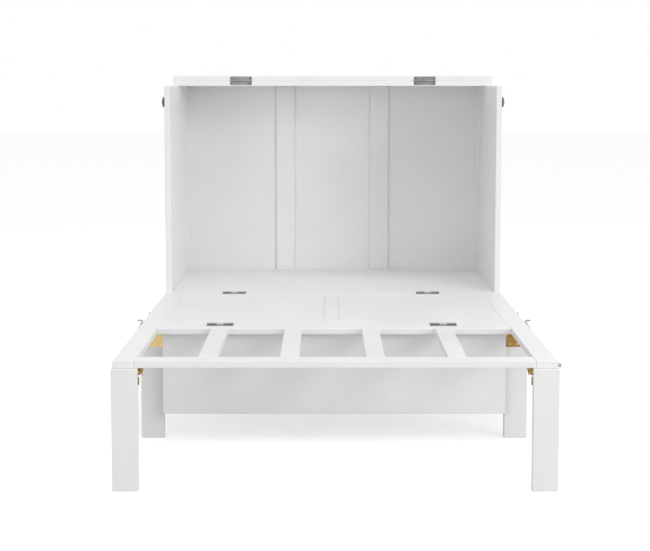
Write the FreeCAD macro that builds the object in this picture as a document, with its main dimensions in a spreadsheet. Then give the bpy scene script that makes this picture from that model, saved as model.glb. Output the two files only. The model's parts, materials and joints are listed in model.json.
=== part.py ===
# Cabinet bed: a low white chest whose front folds out into a single bed.
#
# Working directions: X to the right, Y towards the back, Z up, millimetres.
# Sizes below are written from the front hinge line (y = 0), which joins the cabinet floor
# to the front panel. SHIFT then moves everything so that the origin is under the middle.
import FreeCAD, Part
import math
import os
import Sketcher

doc = FreeCAD.newDocument("cabinet_bed")
sheet = doc.addObject("Spreadsheet::Sheet", "Sheet")

DIMENSIONS = [
    # overall
    ("bed_width", 1110, "cabinet, front panel and slat frame"),
    ("board", 18, "thickness of every main board"),
    ("platform_top", 329, "sleeping surface above the floor"),
    ("side_top", 1011, "top of the cabinet sides"),
    ("cabinet_depth", 677.5, "front hinge line to the back of the cabinet"),
    ("side_setback", 20, "front edges of the sides behind the front hinge line"),
    ("panel_room", 10, "closed front panel below the closed flap"),
    ("slat_length", 587, "foot hinge line to the foot of the bed"),
    ("ease", 1.2, "bevel on the edges of the boards"),
    # cabinet
    ("stile", 60, "upright members of the framed sides"),
    ("side_top_rail", 63, "top rail of a side"),
    ("side_bottom_rail", 60, "rail of a side above the floor board"),
    ("infill_thick", 12, "infill of a side"),
    ("foot_length", 80, "foot at each end of a side"),
    ("arch_height", 40, "cut-out between the feet of a side"),
    ("arch_slope", 20, "sloping ends of that cut-out"),
    ("glide_length", 40, "glide under a foot"),
    ("glide_thick", 4, "glide under a foot"),
    ("back_inset", 12.5, "back board in front of the back edges of the sides"),
    ("back_thick", 6, "back board"),
    ("batten_width", 67, "upright batten on the back board"),
    ("batten_thick", 9, "upright batten on the back board"),
    ("batten_place", 174, "batten centre from the middle"),
    ("bearer_depth", 70, "bearers on edge under the cabinet floor"),
    ("base_gap", 60, "air under the base front"),
    ("post_size", 44, "post under the middle bearer"),
    ("flap_short", 1.25, "folded flap short of the back edge of the top"),
    # front panel
    ("panel_stile", 61, "side stile of the front panel"),
    ("panel_rail", 66, "end rail of the front panel"),
    ("centre_stile", 43, "middle stile of the front panel"),
    ("drift", 7, "middle stile, slats and platform hinges to the left of the middle"),
    ("peg_place", 401, "edge peg from the front hinge line"),
    ("peg_radius", 3, "edge peg"),
    ("peg_reach", 9, "edge peg beyond the panel edge"),
    # slat frame
    ("side_rail", 54, "side rail of the slat frame"),
    ("front_rail", 61, "foot rail of the slat frame"),
    ("back_rail", 70, "rail of the slat frame at the foot hinge line"),
    ("slat_width", 48, "slat"),
    ("slat_place", 109, "inner slats from the middle"),
    ("slat_pitch", 207.5, "inner slat to outer slat"),
    ("cross_gap", 1, "ends of the cross panel inside the middle legs"),
    ("cross_place", 27, "cross panel from the foot hinge line"),
    ("cross_drop", 78, "lower edge of the cross panel above the floor"),
    ("stud_radius", 5.5, "stud on the right foot corner"),
    ("stud_reach", 9, "stud beyond the side rail"),
    ("stud_inset", 12, "stud from the foot edge and below the surface"),
    # legs
    ("leg_width", 65, "leg across the bed"),
    ("leg_thick", 20, "leg along the bed"),
    ("leg_proud", 10, "foot legs in front of the slat frame"),
    ("leg_outboard", 3, "foot legs outside the slat frame"),
    ("leg_under", 8, "middle legs under the end of the front panel"),
    ("leg_gap", 0.5, "leg top below the frame"),
    ("pivot_drop", 12, "leg pivot below the frame"),
    ("plate_width", 46, "leg plate across the leg"),
    ("plate_thick", 2, "steel of the leg plate and bracket"),
    ("plate_bottom", 266, "lower edge of the leg plate above the floor"),
    ("plate_lip", 10, "turned edge of the leg plate"),
    ("lug_radius", 8, "round lug at the pivot"),
    ("lug_room", 6, "turned edge of the leg plate below the lug"),
    ("side_play", 0.3, "between the leg plate and its bracket"),
    ("rivet_radius", 3, "pivot rivet"),
    ("rivet_end", 1.6, "end of the rivet beyond the bracket"),
    ("bracket_length", 48, "bracket flange along the side rail"),
    ("bracket_width", 37, "bracket flange outwards from the pivot"),
    ("bracket_corner", 8, "outer edge of the bracket below the frame"),
    ("cross_room", 0.5, "middle brackets short of the cross panel"),
    # hinges
    ("axis_raise", 0.75, "hinge axis above the surface, and half the gap of the joint"),
    ("hinge_length", 76, "butt hinge along its pin"),
    ("leaf_reach", 30, "leaf from the pin, on the sleeping surface"),
    ("edge_leaf_reach", 15, "leaf from the pin, on the edges of the top boards"),
    ("leaf_thick", 1.8, "hinge leaf"),
    ("knuckle_radius", 3.5, "hinge knuckle"),
    ("knuckle_gap", 0.3, "between knuckles"),
    ("pin_radius", 1.6, "hinge pin"),
    ("running", 0.05, "radial clearance of a turning fit"),
    ("barrel_room", 0.6, "clearance of the boards around a knuckle"),
    ("plate_room", 0.4, "clearance of a leaf around the other leaf's knuckles"),
    ("hinge_place", 320, "hinge centre from the middle"),
    # knobs and hooks
    ("knob_drop", 53.25, "knob below the top of the side"),
    ("knob_setback", 50, "knob behind the front edge of the side"),
    ("knob_neck", 5, "knob neck radius"),
    ("knob_neck_length", 5, "knob neck"),
    ("knob_radius", 18, "knob head radius"),
    ("knob_head", 8.5, "knob head thickness"),
    ("hook_thick", 3, "hook plate"),
    ("hook_off", 0.6, "hook plate off the panel edge"),
    ("hook_height", 12, "hook arm"),
    ("hook_web", 5, "hook metal around the notch"),
    ("hook_taper", 11, "length over which the arm deepens to the notch"),
    ("notch_room", 0.6, "clearance of the notch around the knob neck"),
    ("hook_tab", 11, "finger tab of the hook, outwards"),
    ("hook_tab_rise", 9, "finger tab above the arm"),
    ("pivot_radius", 2.5, "hook pivot screw"),
    ("pivot_head", 5.5, "head of the hook pivot screw"),
    ("pivot_head_thick", 2.4, "head of the hook pivot screw"),
    ("sunk", 12, "pegs, studs and pivot screws in the board"),
]

for row, (alias, value, note) in enumerate(DIMENSIONS, start=1):
    sheet.set("A%d" % row, str(value))
    sheet.set("B%d" % row, note)
    sheet.setAlias("A%d" % row, alias)
doc.recompute()


class Sizes:
    """Each attribute is the expression that reads that cell of the sheet."""

    def __getattr__(self, alias):
        return "Sheet." + alias


S = Sizes()


def number(expression):
    """The present value of an expression, for the few things that take no expression."""
    names = {alias: value for alias, value, note in DIMENSIONS}
    for alias in sorted(names, key=len, reverse=True):
        expression = expression.replace("Sheet." + alias, repr(float(names[alias])))
    return FreeCAD.Units.Quantity(expression).Value


# ---- places worked out from the sizes ------------------------------------------------------
# The closed front panel ends just under the flap, and that gives its length and the foot
# hinge line. The flap covers the front half of the top, and the folded slat frame and panel.
AXIS_Z = f"({S.platform_top} + {S.axis_raise})"
PANEL_PITCH = f"({S.side_top} - {S.panel_room} - {AXIS_Z} + {S.axis_raise})"
TOP_FRONT = f"(({S.cabinet_depth} - {S.flap_short} - {S.board} + {S.axis_raise}) / 2)"
SHIFT = f"({PANEL_PITCH} + {S.slat_length} + {S.leg_proud} - {S.cabinet_depth}) / 2"
HALF = f"{S.bed_width} / 2"
INNER = f"({S.bed_width} / 2 - {S.board})"
UNDER = f"({S.platform_top} - {S.board})"
BACK_FACE = f"({S.cabinet_depth} - {S.back_inset} - {S.back_thick})"
FOOT_EDGE = f"(-{PANEL_PITCH} - {S.slat_length})"
TOP_AXIS_Y = f"({TOP_FRONT} - {S.axis_raise})"
TOP_AXIS_Z = f"({S.side_top} + {S.board})"


# ---- builders ------------------------------------------------------------------------------
def place(thing, x, y, z, shift=SHIFT):
    """Binds the position of a thing, given in working directions."""
    thing.setExpression("Placement.Base.x", x)
    thing.setExpression("Placement.Base.y", f"{y} + {shift}")
    thing.setExpression("Placement.Base.z", z)
    return thing


def block(label, x, y, z, length, width, height, shift=SHIFT):
    """A plain block from its low corner."""
    thing = doc.addObject("Part::Box", label)
    thing.setExpression("Length", length)
    thing.setExpression("Width", width)
    thing.setExpression("Height", height)
    return place(thing, x, y, z, shift)


def eased(label, thing, through_edges=True):
    """Bevels the edges of a board, with or without the short ones that run along x."""
    doc.recompute()
    bevel = doc.addObject("Part::Chamfer", label)
    bevel.Base = thing
    size = number(S.ease)
    chosen = []
    for index, edge in enumerate(thing.Shape.Edges, start=1):
        if through_edges or abs(edge.tangentAt(edge.FirstParameter).x) < 0.5:
            chosen.append(index)
    bevel.Edges = [(index, size, size) for index in chosen]
    return bevel


def plank(label, x, y, z, length, width, height):
    """A board with eased edges."""
    return eased(label, block(label + "_blank", x, y, z, length, width, height))


TURNS = {
    "x": FreeCAD.Rotation(FreeCAD.Vector(0, 1, 0), 90),
    "y": FreeCAD.Rotation(FreeCAD.Vector(1, 0, 0), -90),
    "z": FreeCAD.Rotation(),
}


def rod(label, axis, x, y, z, radius, length, shift=SHIFT):
    """A round bar from the centre of its low end, along +x, +y or +z."""
    thing = doc.addObject("Part::Cylinder", label)
    thing.setExpression("Radius", radius)
    thing.setExpression("Height", length)
    thing.Placement.Rotation = TURNS[axis]
    return place(thing, x, y, z, shift)


def fuse(label, things):
    thing = doc.addObject("Part::MultiFuse", label)
    thing.Shapes = things
    thing.Refine = True
    return thing


def cut(label, base, tools):
    """The base without the tools."""
    tool = tools[0] if len(tools) == 1 else fuse(label + "_tools", tools)
    thing = doc.addObject("Part::Cut", label)
    thing.Base = base
    thing.Tool = tool
    return thing


def together(label, things):
    """Separate solids that share one file."""
    thing = doc.addObject("Part::Compound", label)
    thing.Links = things
    return thing


def draw_outline(sketch, corners):
    """A closed outline of straight lines, with every corner bound to its expressions."""
    count = len(corners)
    points = [FreeCAD.Vector(number(u), number(v), 0) for u, v in corners]
    for at in range(count):
        sketch.addGeometry(Part.LineSegment(points[at], points[(at + 1) % count]), False)
    for at in range(count):
        sketch.addConstraint(Sketcher.Constraint("Coincident", at, 2, (at + 1) % count, 1))
    for at, (u, v) in enumerate(corners):
        for kind, text, value in (("DistanceX", u, points[at].x), ("DistanceY", v, points[at].y)):
            held = sketch.addConstraint(Sketcher.Constraint(kind, -1, 1, at, 1, value))
            sketch.setExpression("Constraints[%d]" % held, text)


def sketch_on(body, role, label):
    """An empty sketch on one of the origin planes of a body."""
    plane = [f for f in body.Origin.OriginFeatures if f.Role == role][0]
    sketch = body.newObject("Sketcher::SketchObject", label)
    sketch.AttachmentSupport = [(plane, "")]
    sketch.MapMode = "FlatFace"
    sketch.Visibility = False
    return sketch


def profile(label, plane, corners, low, thick, round_corners=None):
    """A flat piece cut to an outline: corners on the plane, padded from low by thick.

    On "YZ" the corners are (y, z) and the pad runs along +x; on "XZ" they are (x, z) and it
    runs along +y; on "XY" they are (x, y) and it runs along +z. round_corners maps the number
    of a corner to the radius of its fillet.
    """
    body = doc.addObject("PartDesign::Body", label)
    sketch = sketch_on(body, plane + "_Plane", label + "_outline")
    draw_outline(sketch, corners)
    pad = body.newObject("PartDesign::Pad", label + "_pad")
    pad.Profile = sketch
    pad.setExpression("Length", thick)
    doc.recompute()
    # The pad of an XZ sketch runs towards -y, so it is turned round.
    pad.Reversed = plane == "XZ"
    body.Tip = pad
    if plane == "YZ":
        place(body, low, "0", "0")
    elif plane == "XZ":
        place(body, "0", low, "0")
    else:
        place(body, "0", "0", low)
    if round_corners:
        doc.recompute()
        fillet_corners(body, pad, plane, corners, round_corners)
    return body


def fillet_corners(body, pad, plane, corners, round_corners):
    """Rounds the straight edges that rise from the numbered corners of a profile."""
    for at, radius in round_corners.items():
        u, v = (number(text) for text in corners[at])
        feature = body.Tip
        names = []
        for index, edge in enumerate(feature.Shape.Edges, start=1):
            ends = [vertex.Point for vertex in edge.Vertexes]
            flat = {"YZ": lambda p: (p.y, p.z), "XZ": lambda p: (p.x, p.z), "XY": lambda p: (p.x, p.y)}
            if len(ends) == 2 and all(
                math.dist(flat[plane](end), (u, v)) < 1e-4 for end in ends
            ):
                names.append("Edge%d" % index)
        fillet = body.newObject("PartDesign::Fillet", "%s_round_%d" % (body.Label, at))
        fillet.Base = (feature, names)
        fillet.setExpression("Radius", radius)
        body.Tip = fillet
        doc.recompute()


SIDES = [("left", -1), ("right", 1)]


def low_x(side, inner, width):
    """Low x of something that reaches outwards from inner by width, on one side."""
    return f"{inner}" if side > 0 else f"-({inner}) - ({width})"


NODES = []


def node(name, thing):
    """Names a finished sub-part."""
    thing.Label = name
    NODES.append(thing)
    return thing


# ---- butt hinges ---------------------------------------------------------------------------
# Every hinge is drawn with its pin along x through the origin and its plate towards -y, then
# turned and moved to its line.
KNUCKLES = 3
FIXED_KNUCKLES = (0, 2)
MOVING_KNUCKLES = (1,)
KNUCKLE_PITCH = f"(({S.hinge_length} + {S.knuckle_gap}) / {KNUCKLES})"
LEAF_LOW = f"-({S.axis_raise} + {S.leaf_thick})"
HINGE_START = f"-{S.hinge_length} / 2"

NEAR = FreeCAD.Rotation()
FAR = FreeCAD.Rotation(FreeCAD.Vector(0, 0, 1), 180)
UPRIGHT = FreeCAD.Rotation(FreeCAD.Vector(1, 0, 0), 90)


def hinge_leaf(label, reach, moving):
    """A plate with its knuckles: the pin is fixed in the outer two and turns in the middle one."""
    own = MOVING_KNUCKLES if moving else FIXED_KNUCKLES
    plate = block(label + "_plate", HINGE_START, f"-{reach}", LEAF_LOW,
                  S.hinge_length, reach, S.leaf_thick, "0")
    barrels = []
    gaps = []
    for at in range(KNUCKLES):
        start = f"{HINGE_START} + {at} * {KNUCKLE_PITCH}"
        if at in own:
            length = f"{KNUCKLE_PITCH} - {S.knuckle_gap}"
            barrels.append(rod(f"{label}_knuckle_{at}", "x", start, "0", "0",
                               S.knuckle_radius, length, "0"))
        else:
            depth = f"({S.knuckle_radius} + {S.plate_room})"
            length = f"{KNUCKLE_PITCH} + {S.knuckle_gap}"
            gaps.append(block(f"{label}_gap_{at}", f"{start} - {S.knuckle_gap}", f"-{depth}",
                              LEAF_LOW, length, depth, S.leaf_thick, "0"))
    combed = cut(label + "_combed", plate, gaps)
    if not moving:
        pin = rod(label + "_pin", "x", HINGE_START, "0", "0", S.pin_radius, S.hinge_length, "0")
        return fuse(label, [combed] + barrels + [pin])
    pin_hole = rod(label + "_bore", "x", HINGE_START, "0", "0",
                   f"{S.pin_radius} + {S.running}", S.hinge_length, "0")
    rolled = fuse(label + "_rolled", [combed] + barrels)
    return cut(label, rolled, [pin_hole])


def hinge_recess(label, reach):
    """What a board loses to a leaf and to the knuckles."""
    flat = block(label + "_flat", HINGE_START, f"-{reach}", LEAF_LOW,
                 S.hinge_length, reach, f"{S.leaf_thick} + {S.axis_raise}", "0")
    room = f"({S.knuckle_radius} + {S.barrel_room})"
    hollow = block(label + "_hollow", f"{HINGE_START} - {S.knuckle_gap}", f"-{room}",
                   f"-{room}", f"{S.hinge_length} + 2 * {S.knuckle_gap}",
                   f"2 * {room}", f"2 * {room}", "0")
    return fuse(label, [flat, hollow])


# Each line: place of the pin, reach of the leaves, and how its fixed and moving sides turn.
HINGE_LINES = {
    "front": ("0", AXIS_Z, S.leaf_reach, FAR, NEAR),
    "foot": (f"-{PANEL_PITCH}", AXIS_Z, S.leaf_reach, FAR, NEAR),
    "top": (TOP_AXIS_Y, TOP_AXIS_Z, S.edge_leaf_reach, UPRIGHT, UPRIGHT * FAR),
}


def on_line(line, side_sign, thing, turn):
    y, z = HINGE_LINES[line][:2]
    thing.Placement.Rotation = turn
    middle = "0" if line == "top" else f"-{S.drift}"
    return place(thing, f"{middle} + {side_sign} * {S.hinge_place}", y, z)


def hinge_leaves(name, line, moving):
    """The left and right leaves of one side of a hinge line."""
    y, z, reach, fixed_turn, moving_turn = HINGE_LINES[line]
    turn = moving_turn if moving else fixed_turn
    pair = []
    for side, sign in SIDES:
        leaf = hinge_leaf(f"{name}_{side}", reach, moving)
        pair.append(on_line(line, sign, leaf, turn))
    return node(name, together(name + "_pair", pair))


def let_in(name, board, lines):
    """A board with its hinges let in; lines gives (hinge line, whether it is the moving side)."""
    tools = []
    for line, moving in lines:
        y, z, reach, fixed_turn, moving_turn = HINGE_LINES[line]
        for side, sign in SIDES:
            tool = hinge_recess(f"{name}_{line}_{side}", reach)
            tools.append(on_line(line, sign, tool, moving_turn if moving else fixed_turn))
    return cut(name + "_let_in", board, tools)


# ---- cabinet -------------------------------------------------------------------------------
SIDE_FRONT = S.side_setback
WINDOW_FRONT = f"({S.side_setback} + {S.stile})"
WINDOW_LENGTH = f"({S.cabinet_depth} - {S.side_setback} - 2 * {S.stile})"
WINDOW_LOW = f"({S.platform_top} + {S.side_bottom_rail})"
WINDOW_HEIGHT = f"({S.side_top} - {S.side_top_rail} - {WINDOW_LOW})"
FEET_REACH = f"({S.foot_length} + {S.arch_slope})"
ARCH_TOP = f"({S.glide_thick} + {S.arch_height})"
FRONT_FACE = S.axis_raise
BASE_BACK = f"({S.axis_raise} + {S.board})"

SIDE_OUTLINE = [
    (SIDE_FRONT, S.glide_thick),
    (f"{SIDE_FRONT} + {S.foot_length}", S.glide_thick),
    (f"{SIDE_FRONT} + {FEET_REACH}", ARCH_TOP),
    (f"{S.cabinet_depth} - {FEET_REACH}", ARCH_TOP),
    (f"{S.cabinet_depth} - {S.foot_length}", S.glide_thick),
    (S.cabinet_depth, S.glide_thick),
    (S.cabinet_depth, S.side_top),
    (SIDE_FRONT, S.side_top),
]

for side, sign in SIDES:
    x = low_x(sign, INNER, S.board)
    outline = profile(side + "_side_outline", "YZ", SIDE_OUTLINE, x, S.board)
    window = block(side + "_side_window", x, WINDOW_FRONT, WINDOW_LOW,
                   S.board, WINDOW_LENGTH, WINDOW_HEIGHT)
    framed = cut(side + "_side_framed", outline, [window])
    node(side + "_side_frame", eased(side + "_side_eased", framed, through_edges=False))
    inset = f"{INNER} + ({S.board} - {S.infill_thick}) / 2"
    infill = block(side + "_side_panel", low_x(sign, inset, S.infill_thick), WINDOW_FRONT,
                   WINDOW_LOW, S.infill_thick, WINDOW_LENGTH, WINDOW_HEIGHT)
    node(side + "_side_infill", infill)

FLOOR_OUTLINE = [
    (f"-({HALF})", FRONT_FACE),
    (HALF, FRONT_FACE),
    (HALF, SIDE_FRONT),
    (INNER, SIDE_FRONT),
    (INNER, BACK_FACE),
    (f"-{INNER}", BACK_FACE),
    (f"-{INNER}", SIDE_FRONT),
    (f"-({HALF})", SIDE_FRONT),
]
floor_blank = profile("floor_outline", "XY", FLOOR_OUTLINE, UNDER, S.board)
floor_eased = eased("floor_eased", floor_blank)
node("floor_board", let_in("floor_board", floor_eased, [("front", False)]))

node("base_front_panel", plank("base_front", f"-{HALF}", FRONT_FACE, S.base_gap,
                               S.bed_width, S.board, f"{UNDER} - {S.base_gap}"))

BEARER_LOW = f"({UNDER} - {S.bearer_depth})"
MIDDLE_BEARER = f"(({BASE_BACK} + {BACK_FACE} - {S.board}) / 2)"
bearers = []
for name, y in (("front", BASE_BACK), ("middle", MIDDLE_BEARER), ("rear", f"{BACK_FACE} - {S.board}")):
    bearers.append(block(f"{name}_bearer", f"-{INNER}", y, BEARER_LOW,
                         f"2 * {INNER}", S.board, S.bearer_depth))
node("floor_bearers", together("bearer_set", bearers))

node("centre_post", plank("post", f"-{S.post_size} / 2",
                          f"{MIDDLE_BEARER} + ({S.board} - {S.post_size}) / 2", "0",
                          S.post_size, S.post_size, BEARER_LOW))

node("back_board", block("back", f"-{INNER}", BACK_FACE, ARCH_TOP,
                         f"2 * {INNER}", S.back_thick, f"{S.side_top} - {ARCH_TOP}"))
for side, sign in SIDES:
    batten = plank(side + "_batten", f"{sign} * {S.batten_place} - {S.batten_width} / 2",
                   f"{BACK_FACE} - {S.batten_thick}", S.platform_top,
                   S.batten_width, S.batten_thick, f"{S.side_top} - {S.platform_top}")
    node("back_batten_" + side, batten)

top_blank = plank("top", f"-{HALF}", TOP_FRONT, S.side_top,
                  S.bed_width, f"{S.cabinet_depth} - {TOP_FRONT}", S.board)
node("fixed_top", let_in("fixed_top", top_blank, [("top", False)]))

glides = []
for side, sign in SIDES:
    middle = f"{sign} * ({HALF} - {S.board} / 2)"
    for end, y in (("front", f"{SIDE_FRONT} + {S.foot_length} / 2"),
                   ("back", f"{S.cabinet_depth} - {S.foot_length} / 2")):
        width = f"({S.board} - 2 * {S.ease})"
        glides.append(block(f"glide_{side}_{end}", f"{middle} - {width} / 2",
                            f"{y} - {S.glide_length} / 2", "0",
                            width, S.glide_length, S.glide_thick))
node("cabinet_glides", together("glide_set", glides))

hinge_leaves("front_hinge_fixed_leaves", "front", False)
hinge_leaves("top_hinge_fixed_leaves", "top", False)


def knob(side, sign):
    """A turned knob: a neck, then a round head."""
    body = doc.addObject("PartDesign::Body", side + "_knob_body")
    axis = [f for f in body.Origin.OriginFeatures if f.Role == "X_Axis"][0]
    sketch = sketch_on(body, "XZ_Plane", side + "_knob_outline")
    whole = f"({S.knob_neck_length} + {S.knob_head})"
    draw_outline(sketch, [
        ("0", "0"),
        (whole, "0"),
        (whole, S.knob_radius),
        (S.knob_neck_length, S.knob_radius),
        (S.knob_neck_length, S.knob_neck),
        ("0", S.knob_neck),
    ])
    turning = body.newObject("PartDesign::Revolution", side + "_knob_turning")
    turning.Profile = sketch
    turning.ReferenceAxis = (axis, [""])
    turning.Angle = 360
    body.Tip = turning
    if sign < 0:
        body.Placement.Rotation = FAR
    place(body, f"{sign} * {HALF}", KNOB_Y, KNOB_Z)
    return node(side + "_knob", body)


KNOB_Y = f"({S.side_setback} + {S.knob_setback})"
KNOB_Z = f"({S.side_top} - {S.knob_drop})"
for side, sign in SIDES:
    knob(side, sign)


# ---- top flap ------------------------------------------------------------------------------
# It lies back on the fixed top, and closed it reaches the face of the closed front panel.
FLAP_LENGTH = f"({TOP_FRONT} + {S.board} - {S.axis_raise})"
flap_blank = plank("flap", f"-{HALF}", TOP_FRONT, TOP_AXIS_Z, S.bed_width, FLAP_LENGTH, S.board)
node("flap_board", let_in("flap_board", flap_blank, [("top", True)]))
hinge_leaves("top_hinge_flap_leaves", "top", True)


# ---- front panel ---------------------------------------------------------------------------
PANEL_FOOT = f"({S.axis_raise} - {PANEL_PITCH})"
PANEL_LENGTH = f"({PANEL_PITCH} - 2 * {S.axis_raise})"
PANEL_HALF = f"({HALF} - {S.panel_stile})"
INFILL_FOOT = f"({PANEL_FOOT} + {S.panel_rail})"
INFILL_LENGTH = f"({PANEL_LENGTH} - 2 * {S.panel_rail})"
BOARD_MIDDLE = f"({UNDER} + {S.board} / 2)"
HOOK_Y = f"({AXIS_Z} - {KNOB_Z})"
SUNK_START = f"({HALF} - {S.sunk})"

pegs = []
screws = []
for side, sign in SIDES:
    reach = f"{S.sunk} + {S.peg_reach}"
    pegs.append(rod(side + "_peg", "x", low_x(sign, SUNK_START, reach), f"-{S.peg_place}",
                    BOARD_MIDDLE, S.peg_radius, reach))
    shank = f"{S.sunk} + 2 * {S.hook_off} + {S.hook_thick}"
    under_head = f"{SUNK_START} + {shank}"
    screws.append([
        rod(side + "_pivot_shank", "x", low_x(sign, SUNK_START, shank), HOOK_Y,
            BOARD_MIDDLE, S.pivot_radius, shank),
        rod(side + "_pivot_head", "x", low_x(sign, under_head, S.pivot_head_thick), HOOK_Y,
            BOARD_MIDDLE, S.pivot_head, S.pivot_head_thick),
    ])

for at, (side, sign) in enumerate(SIDES):
    stile = plank(side + "_stile", low_x(sign, PANEL_HALF, S.panel_stile), PANEL_FOOT, UNDER,
                  S.panel_stile, PANEL_LENGTH, S.board)
    bored = cut(side + "_stile_bored", stile, [pegs[at], screws[at][0]])
    node("panel_stile_" + side, bored)
    stile_edge = f"({S.centre_stile} / 2 - {sign} * {S.drift})"
    infill_width = f"({PANEL_HALF} - {stile_edge})"
    infill = plank(side + "_infill", low_x(sign, stile_edge, infill_width), INFILL_FOOT, UNDER,
                   infill_width, INFILL_LENGTH, S.board)
    node("panel_infill_" + side, infill)

for name, y, line, moving in (
    ("panel_back_rail", f"(-{S.axis_raise} - {S.panel_rail})", "front", True),
    ("panel_front_rail", PANEL_FOOT, "foot", False),
):
    rail = plank(name + "_blank", f"-{PANEL_HALF}", y, UNDER, f"2 * {PANEL_HALF}",
                 S.panel_rail, S.board)
    node(name, let_in(name, rail, [(line, moving)]))
node("panel_centre_stile", plank("middle_stile", f"-{S.centre_stile} / 2 - {S.drift}", INFILL_FOOT, UNDER,
                                 S.centre_stile, INFILL_LENGTH, S.board))

node("edge_pegs", together("peg_pair", pegs))
node("hook_pivot_screws", together("screw_pair", [
    fuse(f"screw_{side}", screws[at]) for at, (side, sign) in enumerate(SIDES)
]))
hinge_leaves("front_hinge_panel_leaves", "front", True)
hinge_leaves("foot_hinge_panel_leaves", "foot", False)


# ---- slat frame ----------------------------------------------------------------------------
FRAME_LENGTH = f"({S.slat_length} - {S.axis_raise})"
FRAME_HALF = f"({HALF} - {S.side_rail})"
SLAT_FOOT = f"({FOOT_EDGE} + {S.front_rail})"
SLAT_SPAN = f"({FRAME_LENGTH} - {S.front_rail} - {S.back_rail})"

stud_reach = f"{S.sunk} + {S.stud_reach}"
stud = rod("stud", "x", SUNK_START, f"{FOOT_EDGE} + {S.stud_inset}",
           f"{S.platform_top} - {S.stud_inset}", S.stud_radius, stud_reach)
for side, sign in SIDES:
    rail = plank(side + "_rail", low_x(sign, FRAME_HALF, S.side_rail), FOOT_EDGE, UNDER,
                 S.side_rail, FRAME_LENGTH, S.board)
    if sign > 0:
        rail = cut(side + "_rail_bored", rail, [stud])
    node("slat_side_rail_" + side, rail)
node("corner_stud", together("stud_alone", [stud]))

node("foot_rail", plank("foot_rail_board", f"-{FRAME_HALF}", FOOT_EDGE, UNDER,
                        f"2 * {FRAME_HALF}", S.front_rail, S.board))
back_rail = plank("back_rail_board", f"-{FRAME_HALF}", f"{SLAT_FOOT} + {SLAT_SPAN}", UNDER,
                  f"2 * {FRAME_HALF}", S.back_rail, S.board)
node("slat_back_rail", let_in("slat_back_rail", back_rail, [("foot", True)]))

SLAT_STEPS = [(-1, 1), (-1, 0), (1, 0), (1, 1)]
for at, (sign, outer) in enumerate(SLAT_STEPS, start=1):
    middle = f"{sign} * ({S.slat_place} + {outer} * {S.slat_pitch}) - {S.drift}"
    node(f"slat_{at}", plank(f"slat_board_{at}", f"{middle} - {S.slat_width} / 2", SLAT_FOOT,
                             UNDER, S.slat_width, SLAT_SPAN, S.board))

CROSS_BACK = f"(-{PANEL_PITCH} - {S.cross_place})"
CROSS_HALF = f"({HALF} - {S.leg_width} - {S.cross_gap})"
node("cross_panel", plank("cross_board", f"-{CROSS_HALF}", f"{CROSS_BACK} - {S.board}",
                          S.cross_drop, f"2 * {CROSS_HALF}", S.board,
                          f"{UNDER} - {S.cross_drop}"))
hinge_leaves("foot_hinge_slat_leaves", "foot", True)


# ---- folding legs --------------------------------------------------------------------------
# Each leg turns inwards about a rivet along y at its inner top corner. Its steel plate lies on
# the face that looks at the middle of the slat frame, and the bracket hangs beside the plate.
PIVOT_Z = f"({UNDER} - {S.pivot_drop})"
FOOT_LEG_LOW = f"({FOOT_EDGE} - {S.leg_proud})"
MIDDLE_LEG_LOW = f"({S.leg_under} - {PANEL_PITCH} - {S.leg_thick})"
MIDDLE_BRACKET_ROOM = (
    f"({MIDDLE_LEG_LOW} - {S.plate_thick} - {S.side_play} - {CROSS_BACK} - {S.cross_room})"
)

# Each pair: low y of the leg, way towards the middle of the frame, how far outside the frame
# it stands, and the length of its bracket.
LEG_PAIRS = {
    "foot": (FOOT_LEG_LOW, 1, S.leg_outboard, S.bracket_length),
    "middle": (MIDDLE_LEG_LOW, -1, "0", MIDDLE_BRACKET_ROOM),
}


def span(way, start, length):
    """Low end of a length that runs from start, forwards or backwards."""
    return start if way > 0 else f"({start} - {length})"


def across(sign, pivot, near, far):
    """Low x and width of a stretch from near to far outwards from the pivot, on one side."""
    low = f"{pivot} + {near}" if sign > 0 else f"-({pivot}) - ({far})"
    return low, f"({far}) - ({near})"


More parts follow.
